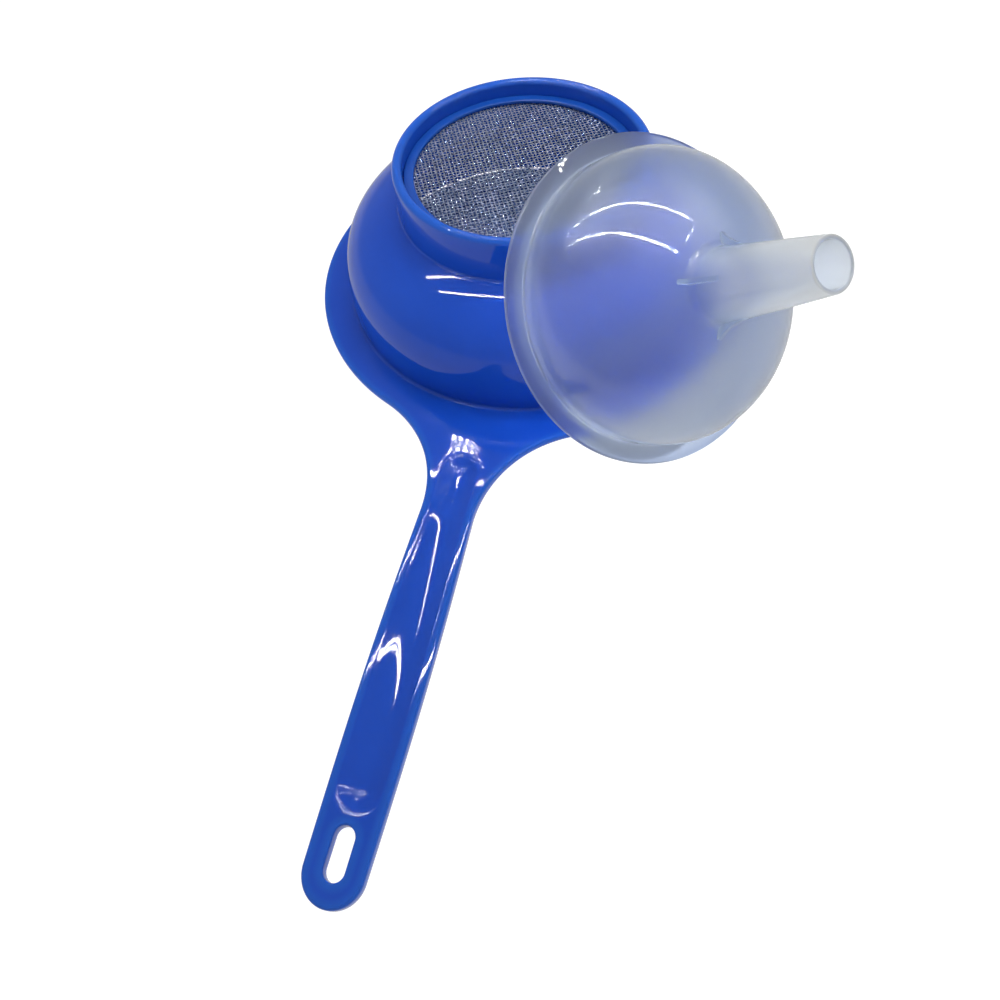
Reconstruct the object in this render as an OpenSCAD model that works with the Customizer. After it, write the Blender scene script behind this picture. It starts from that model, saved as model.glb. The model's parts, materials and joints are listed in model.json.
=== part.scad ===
// Double sieve strainer with a loose push-on funnel, stood upside down on the rim of its bowl.
// Origin: centre of the bowl's mouth, in the plane of the rim. +Z runs up the bowl towards the collar.
// The handle runs along -Y.

/* [Rim and bowl] */
// Outer radius of the flat rim flange
rim_r = 70; // [67:1:73]
// Thickness of the rim flange
rim_t = 2.4; // [2:0.2:3]
// Outer radius of the bowl where it meets the flange
bowl_r = 59.6; // [57:0.2:62]
// Wall thickness of the bowl
bowl_wall = 2; // [1.6:0.2:2.4]
// Height of the straight part of the bowl's wall above the rim plane
straight_h = 4; // [3.5:0.5:5]
// Height that the dome would have if it closed over the collar
dome_h = 35.6; // [34.6:0.2:36.6]

/* [Collar and sieve pack] */
// Height of the collar's lip above the rim plane
total_h = 50.3; // [49:0.1:54]
// Outer radius of the collar
collar_r = 38.8; // [38:0.2:40]
// Wall thickness of the collar, which the lip rounds over
collar_wall = 3; // [2.6:0.2:3.4]
// Width of the ledge that carries the sieve pack
ledge_w = 3.2; // [2.6:0.2:3.6]
// Thickness of the ledge at its inner edge
ledge_t = 1; // [0.8:0.1:1.4]
// Thickness of the coarse sieve
coarse_t = 0.9; // [0.7:0.1:1.1]
// Thickness of the fine sieve
fine_t = 0.7; // [0.5:0.1:0.9]
// Height of the ring between the two sieves
spacer_h = 6.6; // [5:0.2:7]
// Height of the ring that holds the sieve pack in
retainer_h = 1.3; // [1:0.1:1.8]

/* [Handle] */
// Distance from the bowl's axis to the tip of the handle
handle_reach = 196.4; // [185:0.2:215]
// Half width of the handle where its root fillets end
root_half_w = 7.5; // [7:0.1:8.5]
// How much the handle swells towards its middle, on each side
swell = 0.75; // [0.4:0.05:1.2]
// Radius of the handle's round tip
tip_r = 7.3; // [7:0.1:7.6]
// Radius of the fillets between the rim and the handle
root_fillet_r = 38; // [34:1:44]
// Thickness of the handle
handle_t = 4.2; // [3.6:0.2:5]
// Width of the channel along the handle
channel_w = 11; // [9:0.2:12]
// Depth of the channel
channel_depth = 2; // [1.2:0.2:2.2]
// Length of the hanging slot
slot_len = 11.6; // [10:0.2:13]
// Width of the hanging slot
slot_w = 5; // [4.6:0.2:6]

/* [Funnel] */
// Outer radius of the funnel's flange
funnel_flange_r = 45.5; // [45:0.5:48]
// Clearance between the funnel's socket and the collar, on the radius
socket_clearance = 0.2; // [0.15:0.05:0.3]
// Wall thickness of the funnel
funnel_wall = 1.1; // [1:0.1:1.4]
// Length of the socket's skirt below the flange
skirt_h = 4; // [2:0.2:4]
// Height of the socket above the flange's underside
socket_h = 6.4; // [6:0.2:8]
// Height of the dome above the socket
funnel_dome_h = 22.6; // [22:0.2:28]
// Outer radius of the spout at its root
spout_root_r = 9.6; // [9:0.2:11]
// Outer radius of the spout at its tip
spout_tip_r = 6.3; // [6.2:0.1:7]
// Radius of the bore through the spout's tip
spout_bore_r = 5.2; // [5:0.1:5.7]
// Length of the funnel from the flange's underside to the tip of the spout
funnel_len = 60.6; // [58:0.2:70]
// Thickness of the gusset ribs at the root of the spout
gusset_t = 1.2; // [1:0.1:1.6]

/* [Resting place of the funnel] */
// Angle of the funnel's axis above the table
funnel_elevation = 44.5; // [44:0.1:46]
// Direction of the funnel's axis, seen from above
funnel_azimuth = -33.7; // [-35:0.1:-32]
// Distance of the flange's centre from the bowl's axis, to the side
funnel_x = 44.2; // [44:0.1:60]
// Distance of the flange's centre from the bowl's axis, along the handle
funnel_y = -35.5; // [-50:0.1:-35]

/* [Hidden] */

$fn = 96;
blue = [0.10, 0.28, 0.75];
steel = [0.72, 0.73, 0.75];
clear = [0.80, 0.86, 0.92, 0.6];
over = 1;                    // how far a cutting shape runs past the face it cuts

dome_n = 2.4;                // powers of the dome's curve: across the radius and along the height
dome_p = 3.6;
dome_steps = 16;
arc_steps = 8;

mouth_r = bowl_r - bowl_wall;
bore_r = collar_r - collar_wall;
ledge_r = bore_r - ledge_w;
slip = 0.1;                  // radial play of the sieves and their rings in the collar
ring_w = ledge_w;
root_round_r = 1;            // concave round between the flange and the bowl
shoulder_round_r = 0.8;      // concave round between the bowl and the collar
rim_round_r = 0.8;           // rounds on the edge of the flange
dome_cover = 2;              // the inner dome is this much lower than the outer one

root_fillet_x = root_half_w + root_fillet_r;
root_fillet_y = sqrt(pow(rim_r + root_fillet_r, 2) - pow(root_fillet_x, 2));
tip_y = handle_reach - tip_r;
slot_margin = 5.2;                        // material left between the slot and the handle's tip
slot_end = handle_reach - slot_margin;    // the ends of the slot, from the bowl's axis
slot_start = slot_end - slot_len;
channel_round_r = (pow(channel_w / 2, 2) + pow(channel_depth, 2)) / (2 * channel_depth);
channel_start = rim_r + 14;               // centres of the round ends of the channel
channel_end = slot_start - 8.5;
ramp_start = rim_r - 6;                   // the handle thins to the flange between these two
ramp_end = root_fillet_y + 4;

socket_bore_r = collar_r + socket_clearance;
socket_r = socket_bore_r + funnel_wall;
flange_t = 1.4;                           // thickness of the funnel's flange
spout_land = 12;                          // length of the straight bore at the spout's tip
rib_turn = 54;                            // turn of the ribs about the funnel's axis
spout_wall = spout_tip_r - spout_bore_r;
funnel_z = funnel_flange_r * cos(funnel_elevation);

// A point on the bowl's dome at parameter t from 0 to 90, for a base radius r and a dome height h.
function dome_point(t, r, h) =
    [r * pow(cos(t), 2 / dome_n), straight_h + h * pow(sin(t), 2 / dome_p)];

// The parameter at which a dome of base radius r has come in to the given radius.
function dome_t_at(target, r) = acos(pow(target / r, dome_n / 2));

function dome_curve(r, h, target) =
    [for (i = [0 : dome_steps]) dome_point(dome_t_at(target, r) * i / dome_steps, r, h)];

// Points on an arc about centre c from angle a0 to a1.
function arc(c, r, a0, a1, steps = arc_steps) =
    [for (i = [0 : steps]) c + r * [cos(a0 + (a1 - a0) * i / steps), sin(a0 + (a1 - a0) * i / steps)]];

function backwards(points) = [for (i = [len(points) - 1 : -1 : 0]) points[i]];

outer_dome = dome_curve(bowl_r, dome_h, collar_r + shoulder_round_r);
inner_dome = dome_curve(mouth_r, dome_h - dome_cover, ledge_r);
shoulder_z = outer_dome[dome_steps][1];
coarse_z = inner_dome[dome_steps][1] + ledge_t;
spacer_z = coarse_z + coarse_t;
fine_z = spacer_z + spacer_h;
retainer_z = fine_z + fine_t;

// Half of the section of the flange, bowl and collar, as one closed outline.
bowl_section = concat(
    [[mouth_r, 0]],
    arc([rim_r - rim_round_r, rim_round_r], rim_round_r, -90, 0),
    arc([rim_r - rim_round_r, rim_t - rim_round_r], rim_round_r, 0, 90),
    arc([bowl_r + root_round_r, rim_t + root_round_r], root_round_r, 270, 180),
    [for (i = [2 : dome_steps - 1]) outer_dome[i]],
    arc([collar_r + shoulder_round_r, shoulder_z + shoulder_round_r], shoulder_round_r, 270, 180),
    arc([collar_r - collar_wall / 2, total_h - collar_wall / 2], collar_wall / 2, 0, 180),
    [[bore_r, coarse_z], [ledge_r, coarse_z]],
    backwards(inner_dome)
);

module bowl_and_collar() {
    rotate_extrude()
        polygon(bowl_section);
}

// Half width of the handle at u from 0, at the root, to 1, at the tip.
function handle_half_w(u) = root_half_w + (tip_r - root_half_w) * u + swell * sin(180 * u);

handle_steps = 16;
handle_side = [for (i = [0 : handle_steps])
    let (u = i / handle_steps)
    [handle_half_w(u), -root_fillet_y - (tip_y - root_fillet_y) * u]];
fillet_a = atan2(root_fillet_y, -root_fillet_x);
root_side = arc([root_fillet_x, -root_fillet_y], root_fillet_r, fillet_a, 180, 2 * arc_steps);

// Flat outline of the handle and its root, one side and then the other.
module handle_outline() {
    side = concat([[0, -bowl_r]], root_side, handle_side);
    polygon(concat(side, [for (p = backwards(side)) [-p[0], p[1]]]));
    translate([0, -tip_y])
        circle(r = tip_r);
}

module handle_root_and_grip() {
    difference() {
        linear_extrude(handle_t)
            handle_outline();
        ramp_cut();
    }
}

// Thins the handle's root down to the flange.
module ramp_cut() {
    ramp_angle = atan2(handle_t - rim_t, ramp_end - ramp_start);
    translate([-rim_r, -ramp_end, handle_t])
        rotate([-ramp_angle, 0, 0])
            cube([2 * rim_r, rim_r, handle_t]);
}

// The concave channel: a long shallow cut with round ends.
module channel_cut() {
    translate([0, 0, handle_t - channel_depth + channel_round_r]) {
        translate([0, -channel_start, 0])
            rotate([90, 0, 0])
                cylinder(h = channel_end - channel_start, r = channel_round_r);
        for (y = [-channel_start, -channel_end])
            translate([0, y, 0])
                sphere(r = channel_round_r);
    }
}

module slot_cut() {
    radius = slot_w / 2;
    translate([0, 0, -over])
        linear_extrude(handle_t + 2 * over) {
            for (y = [slot_start + radius, slot_end - radius])
                translate([0, -y])
                    circle(r = radius);
            translate([-radius, radius - slot_end])
                square([slot_w, slot_len - slot_w]);
        }
}

module strainer_body() {
    color(blue) {
        difference() {
            union() {
                bowl_and_collar();
                handle_root_and_grip();
            }
            channel_cut();
            slot_cut();
        }
    }
}

module ring(outer, inner, z, h) {
    translate([0, 0, z])
        difference() {
            cylinder(h = h, r = outer);
            translate([0, 0, -over])
                cylinder(h = h + 2 * over, r = inner);
        }
}

module coarse_sieve() {
    color(steel)
        translate([0, 0, coarse_z])
            cylinder(h = coarse_t, r = bore_r - slip);
}

module sieve_spacer_ring() {
    color(blue)
        ring(bore_r - slip, bore_r - ring_w, spacer_z, spacer_h);
}

module fine_sieve() {
    color(steel)
        translate([0, 0, fine_z])
            cylinder(h = fine_t, r = bore_r - slip);
}

module sieve_retaining_ring() {
    color(blue)
        ring(bore_r - slip, bore_r - ring_w, retainer_z, retainer_h);
}

// Quarter ellipse of the funnel's dome, from the socket to where it meets the spout.
function dome_arc(r, h, z0, stop_r) =
    [for (i = [0 : dome_steps])
        let (t = acos(stop_r / r) * i / dome_steps)
        [r * cos(t), z0 + h * sin(t)]];

funnel_outer = dome_arc(socket_r, funnel_dome_h, socket_h, spout_root_r);
funnel_inner = dome_arc(socket_bore_r, funnel_dome_h - funnel_wall, socket_h, spout_root_r - spout_wall);
spout_foot_z = funnel_outer[dome_steps][1];

// Half of the funnel's section, from its mouth to the tip of the spout and back inside.
funnel_section = concat(
    [[socket_bore_r, -skirt_h], [socket_r, -skirt_h], [socket_r, 0]],
    [[funnel_flange_r, 0], [funnel_flange_r, flange_t], [socket_r, flange_t]],
    funnel_outer,
    [[spout_tip_r, funnel_len], [spout_bore_r, funnel_len], [spout_bore_r, funnel_len - spout_land]],
    backwards(funnel_inner)
);

// Four thin ribs that fill the corner between the dome and the spout.
module gussets() {
    reach = spout_root_r + 3.8;          // where a rib's foot ends on the dome
    top_z = spout_foot_z + 8.5;
    bite = 0.6;                          // how deep a rib is rooted in the wall
    foot_h = 0.4;                        // how far its outer end stands above the dome
    for (a = [0 : 90 : 270])
        rotate([0, 0, a])
            rotate([90, 0, 0])
                translate([0, 0, -gusset_t / 2])
                    linear_extrude(gusset_t)
                        polygon([
                            [spout_root_r - bite, spout_foot_z - bite],
                            [reach, dome_z_at(reach) - bite],
                            [reach, dome_z_at(reach) + foot_h],
                            [spout_r_at(top_z), top_z],
                            [spout_r_at(top_z) - bite, top_z]
                        ]);
}

// Height of the dome's outside at radius r, and the spout's outer radius at height z.
function dome_z_at(r) = socket_h + funnel_dome_h * sqrt(1 - pow(r / socket_r, 2));
function spout_r_at(z) =
    spout_root_r + (spout_tip_r - spout_root_r) * (z - spout_foot_z) / (funnel_len - spout_foot_z);

// The funnel about its own axis, with the flange's underside at z = 0.
module funnel_upright() {
    rotate_extrude()
        polygon(funnel_section);
    gussets();
}

module funnel() {
    color(clear)
        translate([funnel_x, funnel_y, funnel_z])
            rotate([0, 90 - funnel_elevation, funnel_azimuth])
                rotate([0, 0, rib_turn])
                    funnel_upright();
}

strainer_body();
coarse_sieve();
sieve_spacer_ring();
fine_sieve();
sieve_retaining_ring();
funnel();
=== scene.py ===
"""Looks for the double sieve strainer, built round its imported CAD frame.

Shapes are worked out in millimetres and written to Blender in metres, in the frame's own axes:
origin in the middle of the bowl's mouth, +Z up to the collar, the handle along -Y.
"""

import json
import math

import bmesh
import bpy
import numpy as np
from mathutils import Matrix, Vector
from mathutils.geometry import delaunay_2d_cdt


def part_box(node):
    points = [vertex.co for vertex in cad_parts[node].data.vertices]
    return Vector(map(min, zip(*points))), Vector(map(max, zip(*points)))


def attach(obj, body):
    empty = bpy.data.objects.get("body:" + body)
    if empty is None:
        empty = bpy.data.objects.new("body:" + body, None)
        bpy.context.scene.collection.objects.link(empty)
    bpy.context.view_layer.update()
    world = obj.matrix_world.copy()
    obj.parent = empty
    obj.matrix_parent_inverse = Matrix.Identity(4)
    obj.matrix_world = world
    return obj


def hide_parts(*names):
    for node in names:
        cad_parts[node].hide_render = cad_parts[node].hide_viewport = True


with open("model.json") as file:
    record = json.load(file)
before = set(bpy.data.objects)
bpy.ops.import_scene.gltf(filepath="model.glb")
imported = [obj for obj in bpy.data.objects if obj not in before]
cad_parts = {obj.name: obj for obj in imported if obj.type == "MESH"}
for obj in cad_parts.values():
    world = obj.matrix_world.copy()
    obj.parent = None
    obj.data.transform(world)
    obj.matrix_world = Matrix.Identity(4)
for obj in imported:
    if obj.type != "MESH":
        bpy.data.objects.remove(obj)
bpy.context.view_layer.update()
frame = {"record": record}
MM = 0.001

MOUNTS = {mount["name"]: mount for mount in frame["record"]["mounts"]}


def node_box(node):
    """Lowest and highest corner of a CAD node, in millimetres."""
    low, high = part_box(node)
    return np.array(low) / MM, np.array(high) / MM


# ---------------------------------------------------------------- dimensions, in millimetres

BODY_LOW, BODY_HIGH = node_box("strainer_body")
RIM_R = BODY_HIGH[1]
TOTAL_H = BODY_HIGH[2]
HANDLE_REACH = -BODY_LOW[1]
MOUTH_R = MOUNTS["bowl_mouth"]["dims"]["r_mm"]
COLLAR_R = MOUNTS["collar"]["dims"]["r_mm"]

# Names end in _R for a radius, _T for a thickness, _H for a height, _W for a width and _ROUND for
# the radius of a rounded edge.
RIM_T = 2.4
RIM_ROUND = 0.8
BOWL_WALL = 2.0
BOWL_R = MOUTH_R + BOWL_WALL
STRAIGHT_H = 4.0
DOME_H = 35.6
DOME_COVER = 2.0
ROOT_ROUND = 1.0
SHOULDER_ROUND = 0.8
MOUTH_ROUND = 0.5
COLLAR_WALL = 3.0
BORE_R = COLLAR_R - COLLAR_WALL
LEDGE_W = 3.2
LEDGE_R = BORE_R - LEDGE_W
LEDGE_LIP = 0.3
RING_PLAY = 0.1

# The dome is a squarish ellipse: the larger its two powers, the squarer its shoulder.
DOME_POWER_OUT = 2.4
DOME_POWER_UP = 3.6

# S is the distance from the bowl's axis along the handle.
HANDLE_T = 4.2
ROOT_HALF_W = 7.5
SWELL = 0.75
TIP_R = 7.3
TIP_S = HANDLE_REACH - TIP_R
FILLET_R = 38.0
FILLET_X = ROOT_HALF_W + FILLET_R
FILLET_S = math.sqrt((RIM_R + FILLET_R) ** 2 - FILLET_X**2)
RAMP_START = RIM_R - 6.0
RAMP_END = FILLET_S + 4.0
HANDLE_BORDER = 2.2
CHANNEL_DEPTH = 2.0
CHANNEL_START = RIM_R + 14.0
CHANNEL_END_R = 5.5
CHANNEL_BLEND = 0.06
CHANNEL_FADE = (1.6, 2.5)
SLOT_W = 5.0
SLOT_LEN = 11.6
SLOT_MARGIN = 5.2
SLOT_END = HANDLE_REACH - SLOT_MARGIN
SLOT_START = SLOT_END - SLOT_LEN
SLOT_ROUND = 0.5
CHANNEL_END = SLOT_START - 8.5

AROUND = 256
CURVE_STEPS = 64
EDGE_STEPS = 6


# ---------------------------------------------------------------- small geometry helpers


def arc(cx, cy, radius, start, end, steps):
    """Points on an arc, with both ends, as an array of (x, y)."""
    angles = np.radians(np.linspace(start, end, steps + 1))
    return np.stack([cx + radius * np.cos(angles), cy + radius * np.sin(angles)], 1)


def circle(radius):
    """A closed circle about the origin, without its last point."""
    return arc(0, 0, radius, 0, 360, AROUND)[:-1]


def smoothstep(low, high, x):
    """0 below low and 1 above high, with a smooth rise between them."""
    t = np.clip((x - low) / (high - low), 0, 1)
    return t * t * (3 - 2 * t)


def soft_max(a, b, width):
    """The larger of a and b, with the corner between them rounded over width."""
    return (a + b + np.sqrt((a - b) ** 2 + width**2)) / 2


def without_repeats(points):
    """The points less any that lie on the one before."""
    keep = [0]
    for i in range(1, len(points)):
        if np.linalg.norm(points[i] - points[keep[-1]]) > 1e-6:
            keep.append(i)
    return points[keep]


def outward_normals(loop):
    """Unit normals of a closed anticlockwise loop, pointing away from its inside."""
    tangent = np.roll(loop, -1, 0) - np.roll(loop, 1, 0)
    tangent /= np.linalg.norm(tangent, axis=1)[:, None]
    return np.stack([tangent[:, 1], -tangent[:, 0]], 1)


def distance_to_loop(points, loop):
    """Distance of each point to the nearest place on a closed loop, worked out a batch at a time."""
    step = np.roll(loop, -1, 0) - loop
    length2 = (step**2).sum(1)
    found = []
    for batch in np.array_split(points[:, None], len(points) // 2000 + 1):
        t = np.clip(((batch - loop) * step).sum(2) / length2, 0, 1)
        gap = batch - (loop + t[..., None] * step)
        found.append(np.sqrt((gap**2).sum(2).min(1)))
    return np.concatenate(found)


def is_inside(points, loop):
    """Whether each point lies inside a closed loop, by counting crossings."""
    (x0, y0), (x1, y1) = loop.T, np.roll(loop, -1, 0).T
    x, y = points[:, :1], points[:, 1:]
    spans = (y0 > y) != (y1 > y)
    crossing_x = x0 + (y - y0) * (x1 - x0) / np.where(y1 == y0, 1, y1 - y0)
    return (spans & (x < crossing_x)).sum(1) % 2 == 1


def band_faces(low, count):
    """Quads between two closed loops of count vertices each, the first of which starts at low."""
    after = [*range(1, count), 0]
    return [(low + i, low + j, low + count + j, low + count + i) for i, j in enumerate(after)]


class Shape:
    """Vertices and faces gathered from several patches, in millimetres."""

    def __init__(self):
        self.verts = []
        self.faces = []

    def add(self, verts, faces, flip=False):
        """Adds a patch whose faces count from its own first vertex; flip turns them over."""
        first = len(self.verts)
        self.verts += [tuple(v) for v in verts]
        self.faces += [tuple(first + i for i in (reversed(f) if flip else f)) for f in faces]

    def strip(self, loops):
        """Quads between closed loops that have the same number of points."""
        count = len(loops[0])
        faces = []
        for low in range(0, count * (len(loops) - 1), count):
            faces += band_faces(low, count)
        self.add(np.concatenate(loops), faces)

    def revolve(self, profile, closed=False):
        """Turns a profile of (radius, height) points about Z."""
        loops = [np.c_[circle(r), np.full(AROUND, z)] for r, z in profile]
        if closed:
            loops.append(loops[0])
        self.strip(loops)

    def build(self, name, weld=1e-5, place=None, sharp=math.radians(50), tone=None):
        """Makes the smooth shaded object, in metres. tone tells how pale each vertex is: 1 is palest.
        This paleness carries painted light: a painted glow on the strainer's thin edges and painted shade
        on the funnel's flange.
        """
        mesh = bpy.data.meshes.new(name)
        mesh.from_pydata([Vector(v) * MM for v in self.verts], [], self.faces)
        obj = bpy.data.objects.new(name, mesh)
        bpy.context.scene.collection.objects.link(obj)
        weld_and_face_out(mesh, weld)
        if tone is not None:
            points = np.array([v.co[:] for v in mesh.vertices]) / MM
            # The stored paleness is painted light and shade, not only the plastic's own colour.
            mesh.attributes.new("tone", "FLOAT", "POINT").data.foreach_set("value", tone(points))
        if place is not None:
            mesh.transform(place)
        mesh.shade_smooth()
        mesh.set_sharp_from_angle(angle=sharp)
        return obj


def weld_and_face_out(mesh, weld):
    """Joins vertices closer than weld metres, and turns every face outwards."""
    bm = bmesh.new()
    bm.from_mesh(mesh)
    bmesh.ops.remove_doubles(bm, verts=bm.verts, dist=weld)
    bmesh.ops.recalc_face_normals(bm, faces=bm.faces)
    bm.to_mesh(mesh)
    bm.free()


# ---------------------------------------------------------------- strainer body

# How far in from the outline the upper face's rings of points lie: closest at the channel's edge.
RING_DEPTHS = [1.2, 1.6, 1.9, 2.1, 2.3, 2.5, 2.9, 3.4, 4.0, 4.7, 5.4, 6.1, 6.8]
GRID_STEP = 1.1


def handle_half_width(s):
    """Half width of the handle at distance s from the bowl's axis."""
    u = np.clip((s - FILLET_S) / (TIP_S - FILLET_S), 0, 1)
    return ROOT_HALF_W + (TIP_R - ROOT_HALF_W) * u + SWELL * np.sin(np.pi * u)


def body_outline():
    """The closed outline of the rim and the handle, anticlockwise from above, with points 1 mm apart."""
    turn = math.degrees(math.atan2(FILLET_S, FILLET_X))
    rim = arc(0, 0, RIM_R, -turn, 180 + turn, round(2 * math.pi * RIM_R))
    fillet_left = arc(-FILLET_X, -FILLET_S, FILLET_R, turn, 0, round(FILLET_R))
    s = np.linspace(FILLET_S, TIP_S, round(TIP_S - FILLET_S))
    left = np.stack([-handle_half_width(s), -s], 1)
    tip = arc(0, -TIP_S, TIP_R, 180, 360, 36)
    right = left[::-1] * [-1, 1]
    fillet_right = fillet_left[::-1] * [-1, 1]
    loop = np.concatenate([rim, fillet_left, left, tip, right, fillet_right])
    return without_repeats(loop)[:-1]


def slot_outline(grow=0.0):
    """The hanging slot's closed outline, anticlockwise from above, moved out all round by grow."""
    r = SLOT_W / 2 + grow
    upper = arc(0, -SLOT_START - SLOT_W / 2, r, 0, 180, 16)
    lower = arc(0, -SLOT_END + SLOT_W / 2, r, 180, 360, 16)
    left = np.linspace(upper[-1], lower[0], 9)[1:-1]
    right = np.linspace(lower[-1], upper[0], 9)[1:-1]
    return np.concatenate([upper, left, lower, right])


def top_height(points):
    """Height of the upper face of the flange and handle, less the channel's dip.

    The channel is a long bowl: u2 is 0 on its middle line, 1 at its edge and more outside.
    """
    x, s = points[:, 0], -points[:, 1]
    flat = RIM_T + (HANDLE_T - RIM_T) * smoothstep(RAMP_START, RAMP_END, s) * (s > 0)
    half = handle_half_width(s) - HANDLE_BORDER
    past_start = np.clip(CHANNEL_START - s, 0, None) / CHANNEL_END_R
    past_end = np.clip(s - CHANNEL_END, 0, None) / CHANNEL_END_R
    u2 = (x / half) ** 2 + past_start**2 + past_end**2
    dip = CHANNEL_DEPTH * soft_max(1 - u2, 0, CHANNEL_BLEND)
    return flat - dip * (1 - smoothstep(*CHANNEL_FADE, u2))


def flat_patch(outer, holes, inside):
    """Triangles that fill outer, less the holes, with the given points inside."""
    loops = [outer, *holes]
    points = np.concatenate([*loops, inside])
    edges, first = [], 0
    for loop in loops:
        count = len(loop)
        edges += [(first + i, first + (i + 1) % count) for i in range(count)]
        first += count
    found = delaunay_2d_cdt([Vector(p) for p in points], edges, [], 0, 1e-6)
    verts = np.array([tuple(v) for v in found[0]])
    faces = np.array(found[2])
    middles = verts[faces].mean(1)
    keep = is_inside(middles, outer)
    for hole in holes:
        keep &= ~is_inside(middles, hole)
    return verts, faces[keep]


def points_inside(outline, hole_r, slot):
    """Points that carry the shape of the upper face: rings that follow the outline, then a plain grid."""
    normals = outward_normals(outline)
    found = []
    for depth in RING_DEPTHS:
        points = outline - normals * depth
        found.append(points[distance_to_loop(points, outline) > depth - 0.02])
    middle_s = np.arange(FILLET_S, HANDLE_REACH, 1.0)
    across, up = np.arange(-RIM_R, RIM_R, GRID_STEP), np.arange(-FILLET_S, RIM_R, GRID_STEP)
    grid = np.stack([part.ravel() for part in np.meshgrid(across, up)], 1)
    grid = grid[is_inside(grid, outline)]
    grid = grid[distance_to_loop(grid, outline) > RING_DEPTHS[-1] + 0.5]
    found += [np.stack([0 * middle_s, -middle_s], 1), grid]
    points = np.concatenate(found)
    points = points[np.hypot(*points.T) > hole_r + 0.5]
    far_from_slot = distance_to_loop(points, slot) > 0.4
    return points[far_from_slot & ~is_inside(points, slot)]


def quarter_turn():
    """Angles from 0 to a quarter turn, in radians, for a rounded edge."""
    return np.radians(np.linspace(0, 90, EDGE_STEPS + 1))


def rounded_edge(shape, loop, normals, top, radius):
    """A wall round a loop, with rounded upper and lower edges. The normals point out of the plastic."""
    rises = [(radius * (1 - math.cos(a)), radius * (1 - math.sin(a))) for a in quarter_turn()]
    upper = [np.c_[loop - normals * inset, top - drop] for inset, drop in reversed(rises)]
    lower = [np.c_[loop - normals * inset, np.full(len(loop), drop)] for inset, drop in rises]
    shape.strip(upper + lower)


def dome_curve(base_r, height, stop_r):
    """The bowl's dome from its foot to where it has come in to stop_r, with more points at the foot."""
    t_end = math.acos((stop_r / base_r) ** (DOME_POWER_OUT / 2))
    t = np.linspace(0, 1, CURVE_STEPS + 1) ** 1.3 * t_end
    r = base_r * np.cos(t) ** (2 / DOME_POWER_OUT)
    return np.stack([r, STRAIGHT_H + height * np.sin(t) ** (2 / DOME_POWER_UP)], 1)


def bowl_profile():
    """The bowl and collar as one line, from the flange's top round the lip to the mouth's edge."""
    outer = dome_curve(BOWL_R, DOME_H, COLLAR_R + SHOULDER_ROUND)
    inner = dome_curve(MOUTH_R, DOME_H - DOME_COVER, LEDGE_R)
    root = arc(BOWL_R + ROOT_ROUND, RIM_T + ROOT_ROUND, ROOT_ROUND, 270, 180, 10)
    outer = outer[outer[:, 1] > RIM_T + ROOT_ROUND]
    shoulder_z = outer[-1, 1]
    shoulder = arc(COLLAR_R + SHOULDER_ROUND, shoulder_z + SHOULDER_ROUND, SHOULDER_ROUND, 270, 180, 10)
    lip = arc(COLLAR_R - COLLAR_WALL / 2, TOTAL_H - COLLAR_WALL / 2, COLLAR_WALL / 2, 0, 180, 24)
    ledge_z = node_box("coarse_sieve")[0][2]
    ledge = np.array([[BORE_R, ledge_z + 0.01], [BORE_R - 0.05, ledge_z], [LEDGE_R + LEDGE_LIP, ledge_z]])
    mouth = arc(MOUTH_R + MOUTH_ROUND, MOUTH_ROUND, MOUTH_ROUND, 180, 270, 5)
    wall = np.linspace(shoulder[-1], lip[0], 6)[1:-1]
    parts = [root, outer, shoulder[1:], wall, lip, ledge, inner[::-1], mouth]
    return without_repeats(np.concatenate(parts))


def strainer_shell():
    """The blue moulding: upper and lower faces, the wall round them and the slot, and the bowl."""
    shape = Shape()
    outline = body_outline()
    normals = outward_normals(outline)
    top_hole = circle(BOWL_R + ROOT_ROUND)
    slot = slot_outline(SLOT_ROUND)
    slot_normals = -outward_normals(slot_outline())
    edge_top = outline - normals * RIM_ROUND
    inside = points_inside(outline, BOWL_R + ROOT_ROUND, slot)
    verts, faces = flat_patch(edge_top, [top_hole, slot], inside)
    shape.add(np.c_[verts, top_height(verts)], faces)
    mouth = circle(MOUTH_R + MOUTH_ROUND)
    verts, faces = flat_patch(edge_top, [mouth, slot], np.empty((0, 2)))
    shape.add(np.c_[verts, np.zeros(len(verts))], faces, flip=True)
    rounded_edge(shape, outline, normals, top_height(edge_top), RIM_ROUND)
    rounded_edge(shape, slot_outline(), slot_normals, top_height(slot), SLOT_ROUND)
    shape.revolve(bowl_profile())
    return shape.build("strainer_shell", tone=strainer_painted_edge_glow)


def strainer_painted_edge_glow(points):
    """Painted glow: 1 at the edges of the rim, handle, slot and collar, where light would leak through
    the thin plastic, and 0 elsewhere.
    """
    plan, z = points[:, :2], points[:, 2]
    r = np.hypot(*plan.T)
    low = (z < HANDLE_T + 0.5) & (r > BOWL_R + ROOT_ROUND + 0.1)
    edge = np.minimum(distance_to_loop(plan, body_outline()), distance_to_loop(plan, slot_outline()))
    # Painted glow along the outline of the flange and handle, and round the slot.
    flange = smoothstep(2.6, 0.7, edge) * low
    # Painted glow on the collar's lip.
    lip = smoothstep(TOTAL_H - 2.2, TOTAL_H - 0.5, z) * (r > BORE_R - 0.5)
    return np.maximum(flange, lip)


# ---------------------------------------------------------------- sieves and their rings

FINE_PITCH = 1.2
FINE_WIRE_R = 0.17
COARSE_PITCH = 2.4
COARSE_WIRE_R = 0.22
WEAVE_TURN = 26
WIRE_SIDES = 6
STEPS_BETWEEN_WIRES = 3


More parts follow.
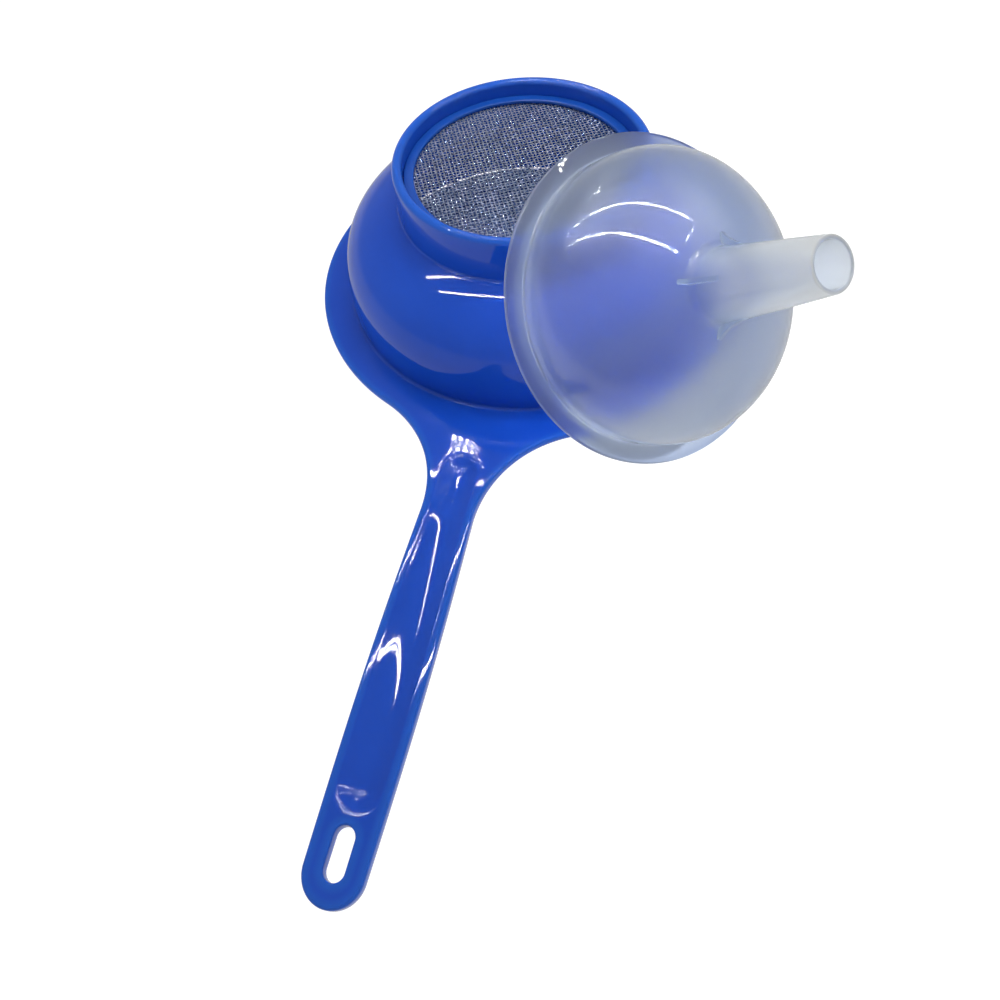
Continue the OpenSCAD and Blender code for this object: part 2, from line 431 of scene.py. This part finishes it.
def woven_disc(name, node, pitch, wire_r):
    """A disc of plain-woven round wire that fills a CAD disc's place."""
    low, high = node_box(node)
    radius = high[0] - wire_r
    middle_z = (low[2] + high[2]) / 2
    lift = min(wire_r, (high[2] - low[2]) / 2 - wire_r)
    count = int(radius / pitch)
    shape = Shape()
    for turn in (WEAVE_TURN, WEAVE_TURN + 90):
        for k in range(-count, count + 1):
            offset = k * pitch
            reach = math.sqrt(radius**2 - offset**2)
            if reach < 2 * pitch:
                continue
            along = np.linspace(-reach, reach, int(2 * reach / pitch * STEPS_BETWEEN_WIRES))
            goes_over = (k % 2 == 0) == (turn == WEAVE_TURN)
            wave = (lift if goes_over else -lift) * np.cos(along * np.pi / pitch)
            add_wire(shape, along, offset, middle_z + wave, wire_r, math.radians(turn))
    return shape.build(name, weld=1e-7, sharp=math.radians(80))


def add_wire(shape, along, offset, heights, wire_r, turn):
    """One wire beside the disc's middle line, through the given heights, turned about Z."""
    angles = np.radians(np.arange(WIRE_SIDES) * 360 / WIRE_SIDES + 30)
    across = offset + wire_r * np.cos(angles)
    cs, sn = math.cos(turn), math.sin(turn)
    rings = [
        np.c_[a * cs - across * sn, a * sn + across * cs, z + wire_r * np.sin(angles)]
        for a, z in zip(along, heights)
    ]
    shape.strip(rings)
    shape.add(rings[0], [tuple(range(WIRE_SIDES))])
    shape.add(rings[-1], [tuple(reversed(range(WIRE_SIDES)))])


def rounded_ring(name, node, edge_r):
    """A ring with rounded edges, in the place of a CAD ring."""
    low, high = node_box(node)
    outer, inner = high[0], high[0] - (LEDGE_W - RING_PLAY)
    corners = [
        (outer - edge_r, high[2] - edge_r, 0),
        (inner + edge_r, high[2] - edge_r, 90),
        (inner + edge_r, low[2] + edge_r, 180),
        (outer - edge_r, low[2] + edge_r, 270),
    ]
    profile = np.concatenate([arc(r, z, edge_r, a, a + 90, 5) for r, z, a in corners])
    shape = Shape()
    shape.revolve(profile, closed=True)
    return shape.build(name)


# ---------------------------------------------------------------- funnel

FUNNEL_AXIS = Vector(MOUNTS["spout_bore"]["axis"]).normalized()
SPOUT_TIP = Vector(MOUNTS["spout_bore"]["pos_m"])
SPOUT_BORE_R = MOUNTS["spout_bore"]["dims"]["r_mm"]
SPOUT_LAND = MOUNTS["spout_bore"]["dims"]["length_mm"]
FUNNEL_LEN = 60.6
FUNNEL_WALL = 1.1
FLANGE_R = 45.5
FLANGE_T = 1.4
FLANGE_ROUND = 0.5
SOCKET_BORE_R = COLLAR_R + 0.2
SOCKET_R = SOCKET_BORE_R + FUNNEL_WALL
SKIRT_H = 4.0
SOCKET_H = 6.4
FUNNEL_DOME_H = 22.6
SPOUT_ROOT_R = 9.6
SPOUT_TIP_R = 6.3
SPOUT_WALL = SPOUT_TIP_R - SPOUT_BORE_R
SPOUT_ROOT_ROUND = 6.0
SPOUT_ROOT_ROUND_INSIDE = 7.0
RIB_TURN = math.radians(54)
RIB_T = 1.2
RIB_REACH = SPOUT_ROOT_R + 3.8
RIB_RISE = 8.5
RIB_BITE = 0.6
RIB_BOW = 0.8
RIB_EDGE_ROUND = 0.25
RIB_STEPS = 13


def funnel_dome(r, height, stop_r):
    """The funnel's dome as a part of an ellipse, from its foot to where it has come in to stop_r."""
    t = np.linspace(0, 1, CURVE_STEPS + 1) * math.acos(stop_r / r)
    return np.stack([r * np.cos(t), SOCKET_H + height * np.sin(t)], 1)


FUNNEL_OUTER = funnel_dome(SOCKET_R, FUNNEL_DOME_H, SPOUT_ROOT_R)
FUNNEL_INNER = funnel_dome(SOCKET_BORE_R, FUNNEL_DOME_H - FUNNEL_WALL, SPOUT_ROOT_R - SPOUT_WALL)
SPOUT_FOOT_Z = FUNNEL_OUTER[-1, 1]


def rounded_corners(points, radii, steps=EDGE_STEPS):
    """An open line with the numbered corners replaced by arcs, each of its own radius where it fits."""
    found = [points[0]]
    for i in range(1, len(points) - 1):
        before, corner, after = points[i - 1], points[i], points[i + 1]
        if i not in radii:
            found.append(corner)
            continue
        back, on = before - corner, after - corner
        back_len, on_len = np.linalg.norm(back), np.linalg.norm(on)
        back, on = back / back_len, on / on_len
        half = math.acos(np.clip(back @ on, -1, 1)) / 2
        reach = min(radii[i] / math.tan(half), back_len * 0.49, on_len * 0.49)
        ends = np.array([corner + back * reach, corner, corner + on * reach])
        for t in np.linspace(0, 1, steps + 1):
            weights = np.array([(1 - t) ** 2, 2 * t * (1 - t) * math.sin(half), t * t])
            found.append(weights @ ends / weights.sum())
    found.append(points[-1])
    return np.array(found)


def funnel_profile():
    """The funnel's section as a closed line, from the skirt's inner edge out and round."""
    lower = np.array(
        [
            [SOCKET_BORE_R, 0.0],
            [SOCKET_BORE_R, -SKIRT_H],
            [SOCKET_R, -SKIRT_H],
            [SOCKET_R, 0],
            [FLANGE_R, 0],
            [FLANGE_R, FLANGE_T],
            [SOCKET_R, FLANGE_T],
            [SOCKET_R, SOCKET_H - 0.6],
        ]
    )
    lower = rounded_corners(lower, {1: 0.35, 2: 0.35, 3: 0.4, 4: FLANGE_ROUND, 5: FLANGE_ROUND, 6: 0.7})
    # The dome's last few points give way to the curve into the spout, outside and inside.
    root = np.array([FUNNEL_OUTER[-6], FUNNEL_OUTER[-1], spout_point(4.0)])
    root = rounded_corners(root, {1: SPOUT_ROOT_ROUND}, 10)[1:-1]
    tip = np.array(
        [
            spout_point(8.0),
            [SPOUT_TIP_R, FUNNEL_LEN],
            [SPOUT_BORE_R, FUNNEL_LEN],
            [SPOUT_BORE_R, FUNNEL_LEN - SPOUT_LAND],
        ]
    )
    tip = rounded_corners(tip, {1: 0.4, 2: 0.3})
    inner_root = np.array([tip[-1], FUNNEL_INNER[-1], FUNNEL_INNER[-6]])
    inner_root = rounded_corners(inner_root, {1: SPOUT_ROOT_ROUND_INSIDE}, 10)[1:-1]
    parts = [lower, FUNNEL_OUTER[:-6], root, tip, inner_root, FUNNEL_INNER[:-6][::-1]]
    return without_repeats(np.concatenate(parts))


def spout_point(rise):
    """A point on the spout's outer wall, that far above its foot."""
    share = rise / (FUNNEL_LEN - SPOUT_FOOT_Z)
    return np.array([SPOUT_ROOT_R + (SPOUT_TIP_R - SPOUT_ROOT_R) * share, SPOUT_FOOT_Z + rise])


def rib(shape, turn):
    """One gusset between the dome and the spout, hollowed a little and rounded along its edge."""
    dome = np.array([point for point in FUNNEL_OUTER if point[0] < RIB_REACH])
    top = spout_point(RIB_RISE)
    edge = np.linspace(dome[0] + [0.4, 0.3], top, RIB_STEPS + 1)
    bow = np.sin(np.linspace(0, math.pi, RIB_STEPS + 1)) * RIB_BOW
    edge += np.outer(bow, [-0.6, -0.8])
    outline = np.concatenate([dome - [0, RIB_BITE], [top - [RIB_BITE, 0]], edge[::-1]])
    away = outline - outline.mean(0)
    crest = outline + away / np.linalg.norm(away, axis=1)[:, None] * RIB_EDGE_ROUND
    sides = [standing(outline, -RIB_T / 2, turn), standing(outline, RIB_T / 2, turn)]
    around = range(len(outline))
    shape.add(sides[0], [tuple(reversed(around))])
    shape.add(sides[1], [tuple(around)])
    shape.strip([sides[0], standing(crest, 0, turn), sides[1]])


def standing(points, offset, turn):
    """Points of (radius, height) stood upright, moved aside by offset and turned about Z."""
    r, z = points.T
    cs, sn = math.cos(turn), math.sin(turn)
    return np.stack([r * cs - offset * sn, r * sn + offset * cs, z], 1)


def funnel_place():
    """The matrix from the funnel's own axes, with its flange's underside at z 0, to the frame."""
    flange = SPOUT_TIP - FUNNEL_AXIS * FUNNEL_LEN * MM
    level = math.atan2(FUNNEL_AXIS.y, FUNNEL_AXIS.x)
    tilt = math.acos(FUNNEL_AXIS.z)
    turn = Matrix.Rotation(level, 4, "Z") @ Matrix.Rotation(tilt, 4, "Y")
    return Matrix.Translation(flange) @ turn @ Matrix.Rotation(RIB_TURN, 4, "Z")


def funnel_shell():
    """The frosted moulding in one turn of its section, without its ribs."""
    shape = Shape()
    shape.revolve(funnel_profile(), closed=True)
    return shape.build("funnel_shell", place=funnel_place(), tone=funnel_tone_and_painted_shade)


def funnel_tone_and_painted_shade(points):
    """1 on the outside of the spout, which is the palest, and -1 on the flange, the darkest: the flange's
    darkness is painted shade.
    """
    r = np.hypot(points[:, 0], points[:, 1])
    spout = smoothstep(SPOUT_FOOT_Z + 1.0, FUNNEL_LEN - 12.0, points[:, 2])
    outside = smoothstep(SPOUT_BORE_R + 0.2, SPOUT_BORE_R + 0.8, r)
    return spout * (0.4 + 0.6 * outside) - smoothstep(SOCKET_R + 0.3, SOCKET_R + 1.2, r)


def funnel_ribs():
    """Four gussets round the spout's root."""
    shape = Shape()
    for k in range(4):
        rib(shape, k * math.pi / 2)
    return shape.build("funnel_ribs", place=funnel_place(), sharp=math.radians(60))


# ---------------------------------------------------------------- materials


def new_material(name):
    """A material with its nodes, its links and its Principled shader."""
    material = bpy.data.materials.new(name)
    material.use_nodes = True
    tree = material.node_tree
    return material, tree.nodes, tree.links, tree.nodes["Principled BSDF"]


def noise(nodes, links, scale, detail, roughness=0.5):
    """A 3D noise in the frame's own metres; scale is in features a metre."""
    place = nodes.new("ShaderNodeTexCoord")
    node = nodes.new("ShaderNodeTexNoise")
    node.inputs["Scale"].default_value = scale
    node.inputs["Detail"].default_value = detail
    node.inputs["Roughness"].default_value = roughness
    links.new(place.outputs["Object"], node.inputs["Vector"])
    return node.outputs["Fac"]


def remap(nodes, links, value, low, high, to_low, to_high):
    """The value's stretch from low to high, spread from to_low to to_high and held there outside it."""
    node = nodes.new("ShaderNodeMapRange")
    node.inputs["From Min"].default_value = low
    node.inputs["From Max"].default_value = high
    node.inputs["To Min"].default_value = to_low
    node.inputs["To Max"].default_value = to_high
    links.new(value, node.inputs["Value"])
    return node.outputs["Result"]


def mix_colour(nodes, links, share, a, b):
    """Colour a where share is 0 and b where it is 1; each is a tuple or another node's output."""
    node = nodes.new("ShaderNodeMix")
    node.data_type = "RGBA"
    for name, value in (("A", a), ("B", b)):
        socket = next(s for s in node.inputs if s.name == name and s.type == "RGBA")
        if isinstance(value, tuple):
            socket.default_value = (*value, 1.0)
        else:
            links.new(value, socket)
    links.new(share, next(s for s in node.inputs if s.name == "Factor" and s.type == "VALUE"))
    return next(s for s in node.outputs if s.type == "RGBA")


def attribute(nodes, name):
    """The value that a mesh carries at its vertices."""
    node = nodes.new("ShaderNodeAttribute")
    node.attribute_name = name
    return node.outputs["Fac"]


def bump(nodes, links, shader, height, distance, strength):
    """Small unevenness of the surface, from a noise."""
    node = nodes.new("ShaderNodeBump")
    node.inputs["Distance"].default_value = distance
    node.inputs["Strength"].default_value = strength
    links.new(height, node.inputs["Height"])
    links.new(node.outputs["Normal"], shader.inputs["Normal"])


def plastic(name, deep, light, edge, roughness):
    """Glossy moulded plastic: cloudy pigment, a painted glow on thin edges where light would shine
    through, scuffs and a slight orange peel.
    """
    material, nodes, links, shader = new_material(name)
    cloud = remap(nodes, links, noise(nodes, links, 35.0, 4.0), 0.3, 0.7, 0.0, 1.0)
    colour = mix_colour(nodes, links, cloud, deep, light)
    # The edge colour is a painted glow, laid on where the mesh's tone attribute is high.
    colour = mix_colour(nodes, links, attribute(nodes, "tone"), colour, edge)
    links.new(colour, shader.inputs["Base Color"])
    scuffs = remap(nodes, links, noise(nodes, links, 900.0, 6.0, 0.7), 0.6, 0.8, 0.0, 0.05)
    haze = noise(nodes, links, 60.0, 3.0)
    haze = remap(nodes, links, haze, 0.3, 0.7, roughness - 0.01, roughness + 0.02)
    total = nodes.new("ShaderNodeMath")
    total.operation = "ADD"
    links.new(scuffs, total.inputs[0])
    links.new(haze, total.inputs[1])
    links.new(total.outputs[0], shader.inputs["Roughness"])
    bump(nodes, links, shader, noise(nodes, links, 260.0, 2.0), 0.00002, 0.06)
    shader.inputs["IOR"].default_value = 1.49
    return material


def steel(name, dark, light):
    """Drawn stainless wire, patchy in tone and finely scratched."""
    material, nodes, links, shader = new_material(name)
    tint = remap(nodes, links, noise(nodes, links, 300.0, 4.0), 0.3, 0.7, 0.0, 1.0)
    links.new(mix_colour(nodes, links, tint, dark, light), shader.inputs["Base Color"])
    rough = remap(nodes, links, noise(nodes, links, 2500.0, 2.0), 0.3, 0.7, 0.22, 0.36)
    links.new(rough, shader.inputs["Roughness"])
    bump(nodes, links, shader, noise(nodes, links, 6000.0, 2.0), 0.00001, 0.2)
    shader.inputs["Metallic"].default_value = 1.0
    return material


def frosted(name):
    """Frosted translucent polypropylene: it blurs what is behind it, its spout is paler, and its flange
    is darker with painted shade.
    """
    material, nodes, links, shader = new_material(name)
    cloud = remap(nodes, links, noise(nodes, links, 40.0, 3.0), 0.3, 0.7, 0.0, 1.0)
    colour = mix_colour(nodes, links, cloud, (0.64, 0.73, 0.86), (0.70, 0.78, 0.90))
    tone = attribute(nodes, "tone")
    colour = mix_colour(nodes, links, tone, colour, (0.93, 0.94, 0.92))
    # Painted shade: the flange gets a darker colour where the tone attribute is below 0.
    flange = remap(nodes, links, tone, -1.0, 0.0, 1.0, 0.0)
    colour = mix_colour(nodes, links, flange, colour, (0.42, 0.50, 0.68))
    links.new(colour, shader.inputs["Base Color"])
    rough = remap(nodes, links, noise(nodes, links, 70.0, 4.0), 0.3, 0.7, 0.29, 0.36)
    links.new(rough, shader.inputs["Roughness"])
    bump(nodes, links, shader, noise(nodes, links, 200.0, 1.0), 0.00003, 0.1)
    shader.inputs["IOR"].default_value = 1.40
    links.new(remap(nodes, links, tone, 0.0, 1.0, 0.94, 0.62), shader.inputs["Transmission Weight"])
    shader.inputs["Coat Weight"].default_value = 1.0
    shader.inputs["Coat Roughness"].default_value = 0.02
    let_lamps_through(material, shader, (0.85, 0.88, 0.93))
    return material


def let_lamps_through(material, shader, tint):
    """Shadow rays pass the plastic as if it were clear, so lamps light what lies behind it."""
    nodes, links = material.node_tree.nodes, material.node_tree.links
    path = nodes.new("ShaderNodeLightPath")
    clear = nodes.new("ShaderNodeBsdfTransparent")
    clear.inputs["Color"].default_value = (*tint, 1.0)
    choice = nodes.new("ShaderNodeMixShader")
    links.new(path.outputs["Is Shadow Ray"], choice.inputs[0])
    links.new(shader.outputs["BSDF"], choice.inputs[1])
    links.new(clear.outputs["BSDF"], choice.inputs[2])
    links.new(choice.outputs["Shader"], nodes["Material Output"].inputs["Surface"])


# The third colour of each is the painted glow on thin edges and on the collar's lip.
BLUE = plastic("blue_plastic", (0.006, 0.066, 0.51), (0.011, 0.080, 0.57), (0.012, 0.105, 0.58), 0.03)
RING_BLUE = plastic("ring_plastic", (0.006, 0.065, 0.38), (0.010, 0.08, 0.42), (0.04, 0.16, 0.6), 0.2)
# The fine wire's colour is the steel's own patchy grey with a painted blue reflection of the blue plastic
# round it.
FINE_STEEL_PAINTED_BLUE = steel("fine_wire", (0.30, 0.37, 0.58), (0.50, 0.57, 0.80))
# The coarse wire's near-black blue is painted shade: it lies beneath the fine sieve, deep in the collar.
COARSE_STEEL_PAINTED_SHADE = steel("coarse_wire", (0.03, 0.06, 0.20), (0.06, 0.10, 0.28))
FROSTED = frosted("frosted_plastic")


def fit_out(piece, material, body, slot, *nodes):
    """Gives a piece its material and its body, and hides the CAD nodes it stands for. The slot is not
    used.
    """
    piece.data.materials.clear()
    piece.data.materials.append(material)
    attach(piece, body)
    if nodes:
        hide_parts(*nodes)


fit_out(strainer_shell(), BLUE, "strainer", "blue_plastic", "strainer_body")
fine = woven_disc("fine_woven_sieve", "fine_sieve", FINE_PITCH, FINE_WIRE_R)
fit_out(fine, FINE_STEEL_PAINTED_BLUE, "strainer", "fine_mesh", "fine_sieve")
coarse = woven_disc("coarse_woven_sieve", "coarse_sieve", COARSE_PITCH, COARSE_WIRE_R)
fit_out(coarse, COARSE_STEEL_PAINTED_SHADE, "strainer", "coarse_mesh", "coarse_sieve")
spacer = rounded_ring("spacer_ring", "sieve_spacer_ring", 0.5)
fit_out(spacer, RING_BLUE, "strainer", "ring_plastic", "sieve_spacer_ring")
retainer = rounded_ring("retaining_ring", "sieve_retaining_ring", 0.4)
fit_out(retainer, RING_BLUE, "strainer", "ring_plastic", "sieve_retaining_ring")
fit_out(funnel_shell(), FROSTED, "funnel", "frosted_plastic", "funnel")
fit_out(funnel_ribs(), FROSTED, "funnel", "frosted_plastic")


# ---------------------------------------------------------------- floor, light and camera, in metres

FLOOR_SIZE = 12.0
FLOOR_Z = -0.00005
SHADE_R = MOUTH_R * MM - 0.0004

# The funnel's shadow on the table is two round patches, each with its middle and its radius.
SHADOWS = [((0.038, -0.014), 0.0485), ((0.045, -0.048), 0.019)]
SHADOW_GLOW = 0.3
SHADOW_LIFT = 0.00002

TABLE_GLEAM = 0.58
ROOM_GLOW = 0.32
LED_HEIGHT = 0.35
LED_R = 0.0012
LED_PITCH = 0.006
LED_ROWS = 0.0055
LED_GLOW = 225.0
LED_SIDES = 8
LED_STRIPS = {
    "led_far": [(-0.24, -0.004), (0.36, 0.138)],
    "led_near": [(-0.20, -0.063), (0.35, -0.0135)],
    "led_right": [(0.37, 0.12), (0.37, 0.04)],
    "led_back": [(-0.13, 0.17), (-0.045, 0.17)],
    "led_back_2": [(-0.105, 0.195), (-0.078, 0.195)],
}


def stage_mesh(name, verts, faces, material):
    """A piece of the stage, which isn't part of the object."""
    mesh = bpy.data.meshes.new(name)
    mesh.from_pydata(verts, [], faces)
    mesh.materials.append(material)
    obj = bpy.data.objects.new(name, mesh)
    bpy.context.scene.collection.objects.link(obj)
    return obj


def emitter(name, colour, base, strength):
    """A dull material that glows by itself."""
    material, _, _, shader = new_material(name)
    shader.inputs["Base Color"].default_value = (*base, 1)
    shader.inputs["Roughness"].default_value = 0.9
    shader.inputs["Emission Color"].default_value = (*colour, 1)
    shader.inputs["Emission Strength"].default_value = strength
    return material


def ring_of(radius, z):
    """A level circle of vertices about the bowl's axis."""
    return [Vector((x, y, z)) for x, y in circle(radius)]


def make_floor():
    """A plain white table that glows, except where the upturned bowl shades it, and a wall behind it."""
    edge = ring_of(SHADE_R, FLOOR_Z)
    glowing = emitter("floor", (1, 1, 1), (0.12, 0.12, 0.12), 1.0)
    floor = stage_mesh("floor", ring_of(FLOOR_SIZE, FLOOR_Z) + edge, band_faces(0, AROUND), glowing)
    floor.visible_glossy = False
    # Under the bowl the table is a dull bluish sheet that doesn't glow: painted shade, tinted as blue
    # light from the bowl's walls would tint it.
    shaded = emitter("floor_in_bowl", (1, 1, 1), (0.10, 0.16, 0.42), 0.0)
    stage_mesh("floor_in_bowl", edge, [tuple(range(AROUND))], shaded)
    make_backdrop()
    make_shadow()


def make_backdrop():
    """A white wall and ceiling far away, which only the camera sees."""
    radius = FLOOR_SIZE * 0.9
    rings = ring_of(radius, FLOOR_Z) + ring_of(radius, FLOOR_SIZE)
    ceiling = tuple(range(AROUND, 2 * AROUND))
    white = emitter("backdrop", (1, 1, 1), (0, 0, 0), 1.0)
    wall = stage_mesh("backdrop", rings, [*band_faces(0, AROUND), ceiling], white)
    wall.visible_diffuse = wall.visible_glossy = wall.visible_shadow = False
    wall.visible_transmission = False


def make_shadow():
    """The funnel's shadow on the glowing table beside the bowl's rim, seen only through the funnel."""
    edge = ring_of(SHADE_R, FLOOR_Z + SHADOW_LIFT)
    outer = []
    for point in edge:
        reach = max(SHADE_R, *(to_shadow_edge(point, *shadow) for shadow in SHADOWS))
        outer.append(Vector((*(point.xy * reach / SHADE_R), point.z)))
    dim = emitter("floor_shadow", (1, 1, 1), (0.12, 0.12, 0.12), SHADOW_GLOW)
    shadow = stage_mesh("floor_shadow", edge + outer, band_faces(0, AROUND), dim)
    shadow.visible_camera = shadow.visible_glossy = False


def to_shadow_edge(towards, middle, radius):
    """How far a round patch reaches from the bowl's axis in a direction, or 0 where it isn't met."""
    x, y = towards.xy.normalized()
    along = middle[0] * x + middle[1] * y
    aside = middle[0] * y - middle[1] * x
    return along + math.sqrt(radius**2 - aside**2) if abs(aside) < radius else 0.0


def make_world():
    """An even room, with the glow of the table below the horizon."""
    world = bpy.data.worlds.new("studio")
    world.use_nodes = True
    nodes, links = world.node_tree.nodes, world.node_tree.links
    direction = nodes.new("ShaderNodeTexCoord")
    parts = nodes.new("ShaderNodeSeparateXYZ")
    links.new(direction.outputs["Generated"], parts.inputs["Vector"])
    strength = remap(nodes, links, parts.outputs["Z"], -0.1, 0.05, TABLE_GLEAM, ROOM_GLOW)
    nodes["Background"].inputs["Color"].default_value = (1, 1, 1, 1)
    links.new(strength, nodes["Background"].inputs["Strength"])
    bpy.context.scene.world = world


def walk(corners, pitch):
    """Evenly spaced points along a line of corners, each with the line's direction there."""
    for start, end in zip(corners, corners[1:]):
        start, end = Vector(start), Vector(end)
        along = (end - start).normalized()
        for k in range(int((end - start).length / pitch)):
            yield start + along * pitch * k, along


def make_leds():
    """Double rows of small staggered lamps on the ceiling, which show in the gloss as thin lines."""
    glow = emitter("led", (1.0, 0.99, 0.97), (0, 0, 0), LED_GLOW)
    for name, corners in LED_STRIPS.items():
        verts, faces = [], []
        for k, (middle, along) in enumerate(walk(corners, LED_PITCH / 2)):
            aside = Vector((-along.y, along.x)) * LED_ROWS / 2 * (1 if k % 2 else -1)
            first = len(verts)
            for side in range(LED_SIDES):
                turn = math.tau * side / LED_SIDES
                x = middle.x + aside.x + LED_R * math.cos(turn)
                y = middle.y + aside.y + LED_R * math.sin(turn)
                verts.append((x, y, LED_HEIGHT))
            faces.append(tuple(reversed(range(first, first + LED_SIDES))))
        strip = stage_mesh(name, verts, faces, glow)
        strip.visible_camera = False
        strip.visible_transmission = False


CAMERA_AT = (0.04747, -0.19286, 0.19719)
CAMERA_TURN = (34.295, 5.829, 15.85)
CAMERA_LENS = 28.24
CAMERA_SHIFT = (0.0536, -0.0713)


def make_camera():
    """The photo's view. Where it stands, its turn in degrees and its lens were fitted to the outlines."""
    camera = bpy.data.cameras.new("camera")
    camera.lens = CAMERA_LENS
    camera.sensor_width = 36.0
    camera.shift_x, camera.shift_y = CAMERA_SHIFT
    camera.clip_start = 0.005
    obj = bpy.data.objects.new("camera", camera)
    bpy.context.scene.collection.objects.link(obj)
    obj.location = CAMERA_AT
    obj.rotation_euler = [math.radians(angle) for angle in CAMERA_TURN]
    bpy.context.scene.camera = obj


make_floor()
make_world()
make_leds()
make_camera()
bpy.context.scene.view_settings.view_transform = "Standard"
